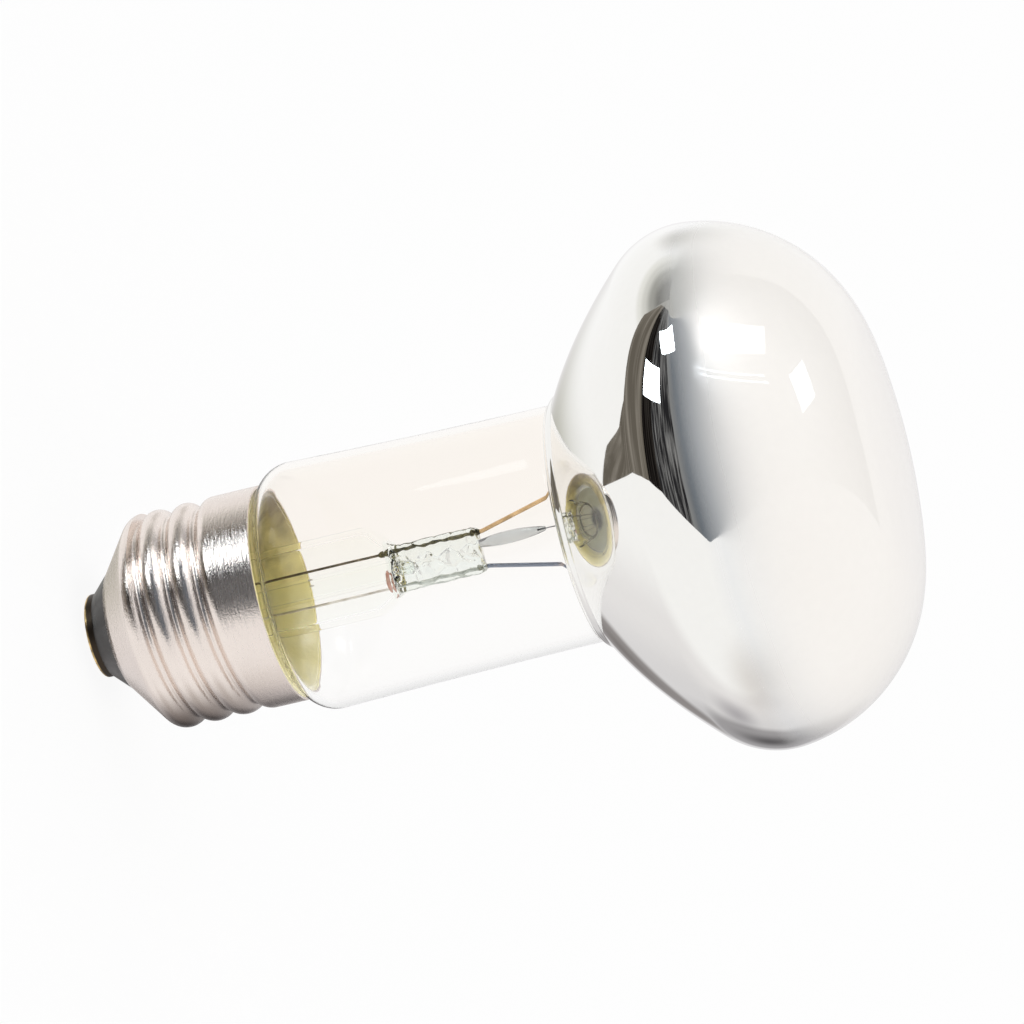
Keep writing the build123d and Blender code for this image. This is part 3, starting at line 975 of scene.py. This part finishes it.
room_panel(
    "cap_side_shade",
    [(-170, -6), (-104, -6)],
    [(-170, 22), (-104, 22)],
    patch_finish("shade beside the cap", [(0.0, (0.48, 0.48, 0.41)), (1.0, white)]),
    room_distance,
    reaches_matt=False,
)
table_shades = [
    (0.0, (0.12, 0.115, 0.12)),
    (0.23, (0.36, 0.35, 0.36)),
    (0.36, (0.72, 0.71, 0.72)),
    (0.7, (0.85, 0.835, 0.84)),
    (1.0, white),
]
room_panel(
    "table_shade",
    [(-244, -90), (-84, -90)],
    [(-244, 22), (-84, 22)],
    patch_finish("shade on the table", table_shades),
    room_distance + 0.1,
    reaches_matt=False,
)
# Painted shade: a grey band of the table's shade, seen in the mirror
room_panel(
    "table_shade_band",
    [(-160, -68), (-112, -68)],
    [(-160, -34), (-112, -34)],
    patch_finish("shade band on the table", [(0.0, (0.62, 0.61, 0.63)), (1.0, white)]),
    room_distance,
    reaches_matt=False,
)
edge_shades = [(0.0, (0.30, 0.28, 0.27)), (0.55, (0.40, 0.38, 0.37)), (1.0, white)]
room_panel(
    "edge_shade",
    [(-164, -21), (-134, -21)],
    [(-164, -5), (-134, -5)],
    patch_finish("shade at the table's edge", edge_shades),
    room_distance,
    reaches_matt=False,
)
# Painted shadow: the table dims towards straight down, for the bulb's own shadow on it
room_panel(
    "table_shadow_below",
    [(-180, -90), (180, -90)],
    [(-180, -56), (180, -56)],
    sweep_finish("shadow on the table below", "Y", [(0.0, (0.74, 0.71, 0.69)), (1.0, white)]),
    room_distance + 0.2,
    reaches_matt=False,
)


def lamp_finish(name, colour, strength):
    """Bright face of a lamp."""
    made, _, light = shine(name)
    light.inputs["Color"].default_value = (*colour, 1.0)
    light.inputs["Strength"].default_value = strength
    return made


lamp_light = lamp_finish("lamp light", white, 5.0)
side_light = lamp_finish("side lamp light", (0.86, 0.94, 1.0), 7.0)
for name, low_edge, high_edge, light, reaches_matt in (
    ("lamp_low", [(-57, 39), (-30, 39)], [(-57, 54), (-30, 54)], side_light, True),
    ("lamp_high", [(-25, 61), (5, 63)], [(-38, 71), (5, 76)], side_light, True),
    ("lamp_front", [(33, 60), (80, 40)], [(60, 70), (95, 46)], lamp_light, False),
    ("lamp_side", [(85, 16), (100, 17)], [(87, 28), (103, 27)], side_light, False),
    ("lamp_slit_low", [(22, 49), (70, 31)], [(22, 50), (70, 32)], side_light, False),
    ("lamp_slit_high", [(22, 52), (70, 34)], [(22, 53), (70, 35)], side_light, False),
):
    room_panel(name, low_edge, high_edge, light, lamp_distance, reaches_matt)

floor_half = 1.6
floor_drop = 0.2
paper_glow = 0.9
floor_mesh = bpy.data.meshes.new("floor")
floor_corners = [
    (x * floor_half, y * floor_half, -floor_drop * mm) for x, y in ((-1, -1), (1, -1), (1, 1), (-1, 1))
]
floor_mesh.from_pydata(floor_corners, [], [(0, 1, 2, 3)])
floor = bpy.data.objects.new("floor", floor_mesh)
bpy.context.scene.collection.objects.link(floor)
paper = bpy.data.materials.new("white paper")
paper.use_nodes = True
paper_tree = paper.node_tree
paper_tree.nodes.clear()
paper_ray = put(paper_tree, "LightPath").outputs
paper_seen = reckoned(
    paper_tree, "MAXIMUM", paper_ray["Is Camera Ray"], paper_ray["Is Transmission Ray"]
)
paper_seen = reckoned(paper_tree, "MAXIMUM", paper_seen, paper_ray["Is Glossy Ray"])
paper_share = reckoned(paper_tree, "MULTIPLY", paper_seen, paper_glow)
paper_matt = put(paper_tree, "BsdfDiffuse", {"Color": (0.9, 0.9, 0.9, 1.0)})
paper_white = put(paper_tree, "Emission", {"Color": (1.0, 1.0, 1.0, 1.0), "Strength": 1.0})
paper_mix = put(
    paper_tree, "MixShader", {0: paper_share, 1: paper_matt.outputs[0], 2: paper_white.outputs[0]}
)
paper_tree.links.new(paper_mix.outputs[0], put(paper_tree, "OutputMaterial").inputs["Surface"])
floor_mesh.materials.append(paper)
floor.visible_glossy = False

world = bpy.data.worlds.new("white studio")
world.use_nodes = True
world.node_tree.nodes["Background"].inputs["Color"].default_value = (1.0, 1.0, 1.0, 1.0)
world.node_tree.nodes["Background"].inputs["Strength"].default_value = 1.0
scene = bpy.context.scene
scene.world = world
scene.view_settings.view_transform = "Standard"
scene.cycles.max_bounces = 32
scene.cycles.transmission_bounces = 32
scene.cycles.glossy_bounces = 8
scene.cycles.diffuse_bounces = 8
scene.cycles.blur_glossy = 0.0

# Camera: level with the bulb and a little to its face side, turned so that the cap lies at the left.
# Its place was fitted to the outline in the photograph, and its lens gives the same size in the frame.
camera_distance = 612.6
camera_aim = 53.8
camera_right = 1.49
camera_down = 2.79
camera_tilt = math.radians(12.1)
camera_roll = math.radians(13.35)
camera_scale = 8.464
image_width = 1024
sensor_width = 36.0
axis_seen = Vector(
    (
        math.cos(camera_tilt) * math.cos(camera_roll),
        -math.cos(camera_tilt) * math.sin(camera_roll),
        -math.sin(camera_tilt),
    )
)
down_seen = Vector((math.sin(camera_roll), math.cos(camera_roll), 0))
away_seen = axis_seen.cross(down_seen)
to_object = Matrix((down_seen, away_seen, axis_seen))
camera_place = to_object @ Vector((-camera_right, -camera_down, -camera_distance))
camera_place.z += camera_aim
right = to_object @ Vector((1, 0, 0))
up = to_object @ Vector((0, -1, 0))
back = to_object @ Vector((0, 0, -1))
camera_data = bpy.data.cameras.new("camera")
camera_data.sensor_width = sensor_width
camera_data.lens = camera_scale * camera_distance / image_width * sensor_width
camera_data.clip_start = 0.01
camera = bpy.data.objects.new("camera", camera_data)
camera_turn = Matrix((right, up, back)).transposed().to_4x4()
camera.matrix_world = Matrix.Translation(camera_place * mm) @ camera_turn
scene.collection.objects.link(camera)
scene.camera = camera
